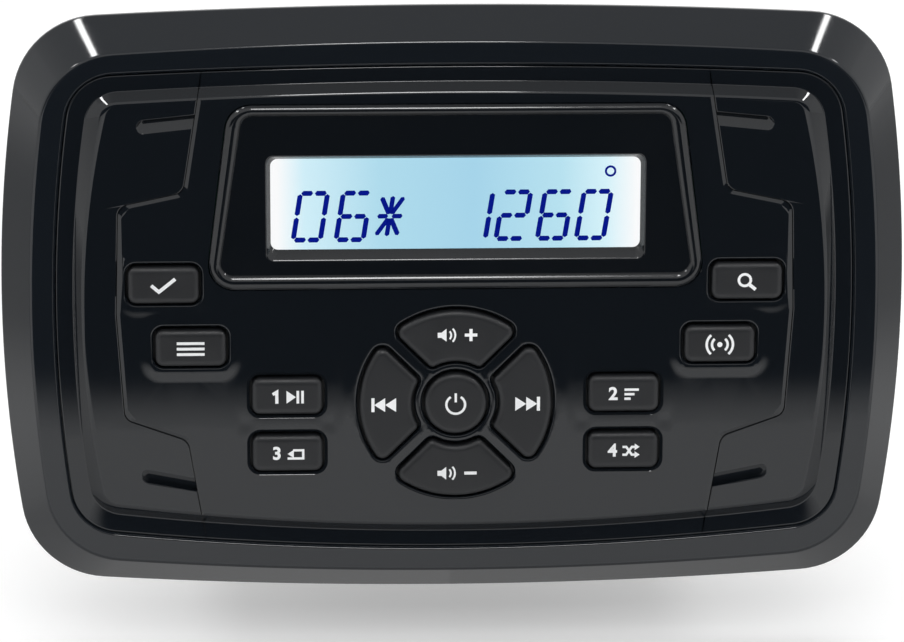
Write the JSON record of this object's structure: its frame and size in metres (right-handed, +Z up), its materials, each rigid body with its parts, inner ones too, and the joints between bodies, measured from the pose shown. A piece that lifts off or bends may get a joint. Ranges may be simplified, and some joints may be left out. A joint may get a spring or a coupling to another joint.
{
  "type": "car stereo",
  "caption": "Flush-mount car stereo: bowed rectangular face with a raised rim, a segment display in a trapezoid ridge, sprung push keys, and a finned rear chassis with sockets.",
  "frame": {"origin": "centre of the gasket's rear face, on the dash panel's front surface", "axes": "+X to the right seen from the front, +Y to the rear into the dash, +Z up"},
  "size_m": [0.145, 0.073, 0.097],
  "materials": {
    "rim_plastic": "satin black",
    "panel_plastic": "gloss black",
    "display_plastic": "gloss black",
    "key_rubber": "matte dark gray",
    "foam": "closed-cell foam",
    "clear_lens": "clear",
    "display_glass": "backlit light blue",
    "white_plastic": "matte white",
    "guide_plastic": "clear satin",
    "led_resin": "clear resin",
    "seal_rubber": "matte black",
    "circuit_board": "green solder mask",
    "gold_plate": "gold plated",
    "screw_steel": "zinc plated",
    "tin_plate": "tin plated",
    "ivory_plastic": "matte ivory",
    "socket_plastic": "matte black",
    "housing_plastic": "textured black",
    "cast_cover": "black anodised casting",
    "chip_resin": "matte black resin",
    "thermal_rubber": "soft gray-blue",
    "module_board": "blue solder mask",
    "capacitor_sleeve": "sleeved",
    "copper_wire": "enamelled",
    "antenna_metal": "nickel plated",
    "line_out_metal": "nickel plated",
    "fuse_plastic": "clear yellow"
  },
  "bodies": {
    "receiver": {"amplifier_chip": "chip_resin", "antenna_socket": "antenna_metal", "backlight_leds": "led_resin", "bezel_frame": "rim_plastic", "blade_fuse": "fuse_plastic", "capacitors": "capacitor_sleeve", "choke": "copper_wire", "cover_screws": "screw_steel", "cover_seal": "seal_rubber", "display_bezel": "display_plastic", "display_lens": "clear_lens", "front_panel": "panel_plastic", "fuse_holder": "socket_plastic", "harness_pins": "gold_plate", "harness_socket": "socket_plastic", "header_plug": "ivory_plastic", "header_socket": "socket_plastic", "housing_screws": "screw_steel", "housing_seal": "seal_rubber", "key_board": "circuit_board", "key_board_screws": "screw_steel", "key_contacts": "gold_plate", "keypad_sheet": "seal_rubber", "lcd_frame": "white_plastic", "lcd_glass": "display_glass", "lcd_pins": "tin_plate", "left_trim": "panel_plastic", "light_guide": "guide_plastic", "line_out_sockets": "line_out_metal", "main_board": "circuit_board", "main_board_screws": "screw_steel", "panel_gasket": "foam", "panel_screws": "screw_steel", "rear_cover": "cast_cover", "rear_housing": "housing_plastic", "right_trim": "panel_plastic", "thermal_pad": "thermal_rubber", "tuner_can": "tin_plate", "wireless_module": "module_board"},
    "key_power": {"key_power": "key_rubber"},
    "key_volume_up": {"key_volume_up": "key_rubber"},
    "key_previous": {"key_previous": "key_rubber"},
    "key_volume_down": {"key_volume_down": "key_rubber"},
    "key_next": {"key_next": "key_rubber"},
    "key_upper_left": {"key_upper_left": "key_rubber"},
    "key_upper_right": {"key_upper_right": "key_rubber"},
    "key_lower_left": {"key_lower_left": "key_rubber"},
    "key_lower_right": {"key_lower_right": "key_rubber"},
    "key_1": {"key_1": "key_rubber"},
    "key_2": {"key_2": "key_rubber"},
    "key_3": {"key_3": "key_rubber"},
    "key_4": {"key_4": "key_rubber"}
  },
  "joints": [
    {"name": "key_power_press", "type": "slide", "parent": "receiver", "child": "key_power", "axis": [0, 1, 0], "range_m": [0, 0.0008], "stiffness_N_per_m": 1000},
    {"name": "key_volume_up_press", "type": "slide", "parent": "receiver", "child": "key_volume_up", "axis": [0, 1, 0], "range_m": [0, 0.0008], "stiffness_N_per_m": 1000},
    {"name": "key_previous_press", "type": "slide", "parent": "receiver", "child": "key_previous", "axis": [0, 1, 0], "range_m": [0, 0.0008], "stiffness_N_per_m": 1000},
    {"name": "key_volume_down_press", "type": "slide", "parent": "receiver", "child": "key_volume_down", "axis": [0, 1, 0], "range_m": [0, 0.0008], "stiffness_N_per_m": 1000},
    {"name": "key_next_press", "type": "slide", "parent": "receiver", "child": "key_next", "axis": [0, 1, 0], "range_m": [0, 0.0008], "stiffness_N_per_m": 1000},
    {"name": "key_upper_left_press", "type": "slide", "parent": "receiver", "child": "key_upper_left", "axis": [0, 1, 0], "range_m": [0, 0.0008], "stiffness_N_per_m": 1000},
    {"name": "key_upper_right_press", "type": "slide", "parent": "receiver", "child": "key_upper_right", "axis": [0, 1, 0], "range_m": [0, 0.0008], "stiffness_N_per_m": 1000},
    {"name": "key_lower_left_press", "type": "slide", "parent": "receiver", "child": "key_lower_left", "axis": [0, 1, 0], "range_m": [0, 0.0008], "stiffness_N_per_m": 1000},
    {"name": "key_lower_right_press", "type": "slide", "parent": "receiver", "child": "key_lower_right", "axis": [0, 1, 0], "range_m": [0, 0.0008], "stiffness_N_per_m": 1000},
    {"name": "key_1_press", "type": "slide", "parent": "receiver", "child": "key_1", "axis": [0, 1, 0], "range_m": [0, 0.0008], "stiffness_N_per_m": 1000},
    {"name": "key_2_press", "type": "slide", "parent": "receiver", "child": "key_2", "axis": [0, 1, 0], "range_m": [0, 0.0008], "stiffness_N_per_m": 1000},
    {"name": "key_3_press", "type": "slide", "parent": "receiver", "child": "key_3", "axis": [0, 1, 0], "range_m": [0, 0.0008], "stiffness_N_per_m": 1000},
    {"name": "key_4_press", "type": "slide", "parent": "receiver", "child": "key_4", "axis": [0, 1, 0], "range_m": [0, 0.0008], "stiffness_N_per_m": 1000}
  ]
}
